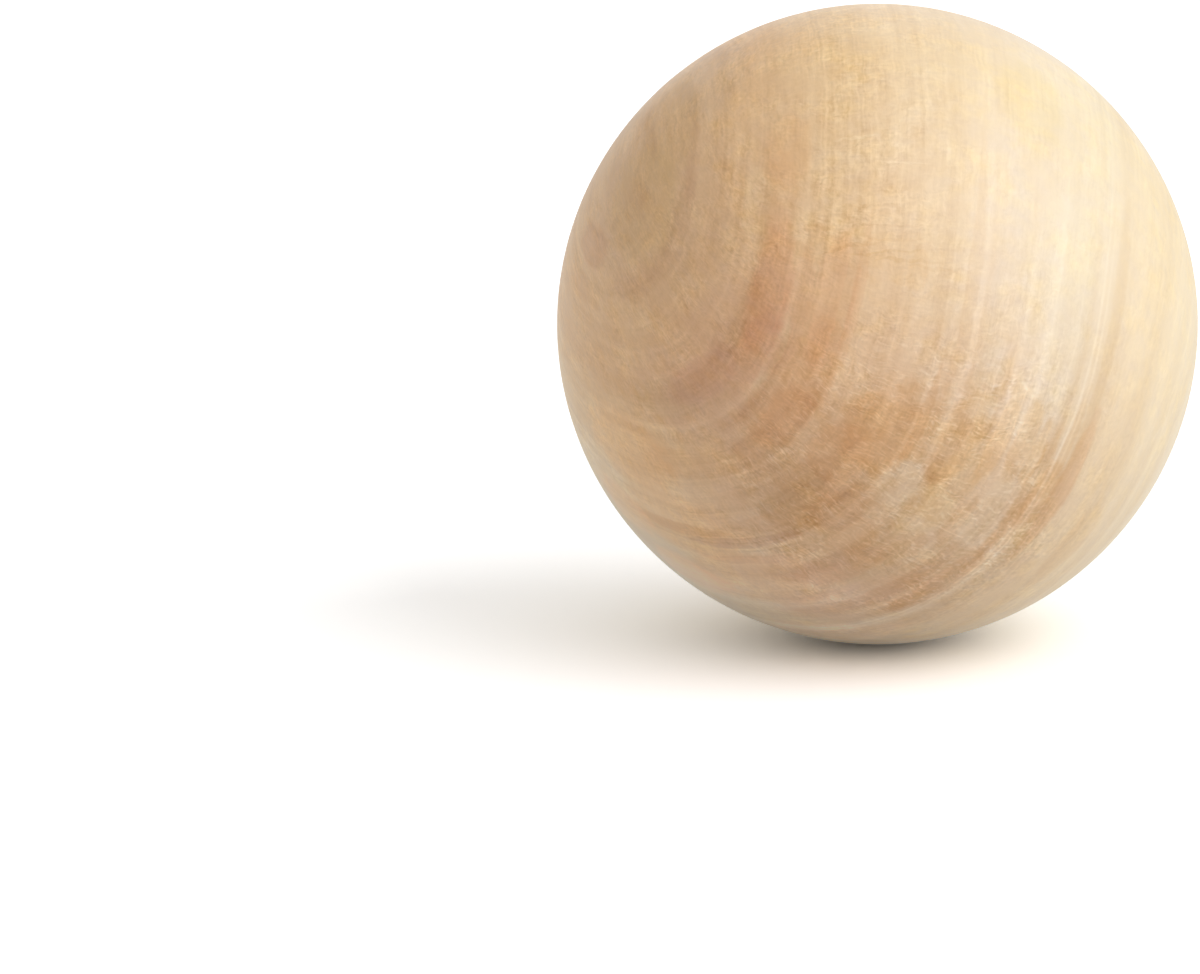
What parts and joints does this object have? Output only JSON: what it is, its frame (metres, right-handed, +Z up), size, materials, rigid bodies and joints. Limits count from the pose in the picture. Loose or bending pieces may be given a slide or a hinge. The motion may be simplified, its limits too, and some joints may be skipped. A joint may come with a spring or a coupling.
{
  "type": "wooden ball",
  "caption": "Solid turned wooden ball, a true sphere of bare pale hardwood with smooth visible grain and no hole, flat or seam.",
  "frame": {"origin": "centre of the ball", "axes": "+Z up as pictured, -Y towards the pictured side; the solid is the same about every axis through the centre, and only its grain tells one side from another"},
  "size_m": [0.05, 0.05, 0.05],
  "materials": {
    "bare_wood": "sanded smooth and bare, straw to tan with curved growth rings, low sheen"
  },
  "bodies": {
    "root": {"ball": "bare_wood"}
  },
  "joints": []
}
